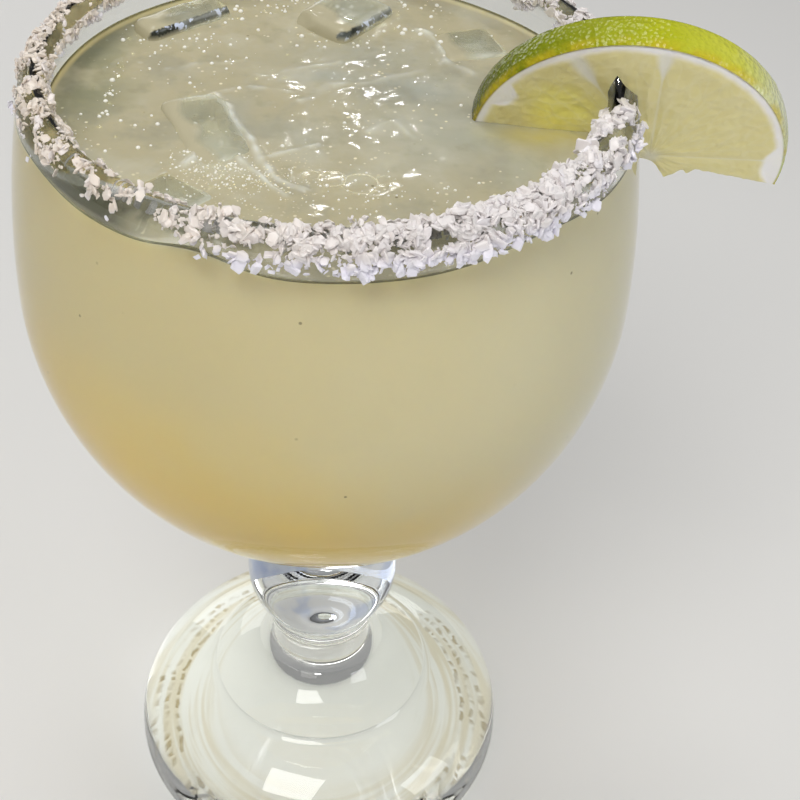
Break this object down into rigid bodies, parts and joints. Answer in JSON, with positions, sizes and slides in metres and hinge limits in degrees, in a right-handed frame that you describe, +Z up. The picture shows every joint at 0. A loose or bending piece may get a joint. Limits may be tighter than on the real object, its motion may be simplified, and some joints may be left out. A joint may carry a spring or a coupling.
{
  "type": "margarita cocktail in a stemmed goblet",
  "caption": "Margarita filled into a heavy round goblet on a ball stem, with a salted rim, floating ice and a lime slice hung on the rim.",
  "frame": {"origin": "middle of the foot's flat underside, on the goblet's axis", "axes": "+Z up the goblet's axis, +X towards the lime slice on the rim, -Y towards the side that is usually seen"},
  "size_m": [0.1404, 0.1158, 0.1992],
  "materials": {
    "glass": "clear fire-polished pressed glass, with white coarse salt on the rim",
    "drink": "cloudy pale yellow-green liquid, wet and glossy",
    "ice": "wet clear ice with fine bubbles",
    "lime": "moist pale green flesh in white pith and glossy green rind"
  },
  "bodies": {
    "root": {"glass": "glass", "drink": "drink", "ice_1": "ice", "ice_2": "ice", "ice_3": "ice", "ice_4": "ice", "ice_5": "ice", "lime_slice": "lime"}
  },
  "joints": []
}
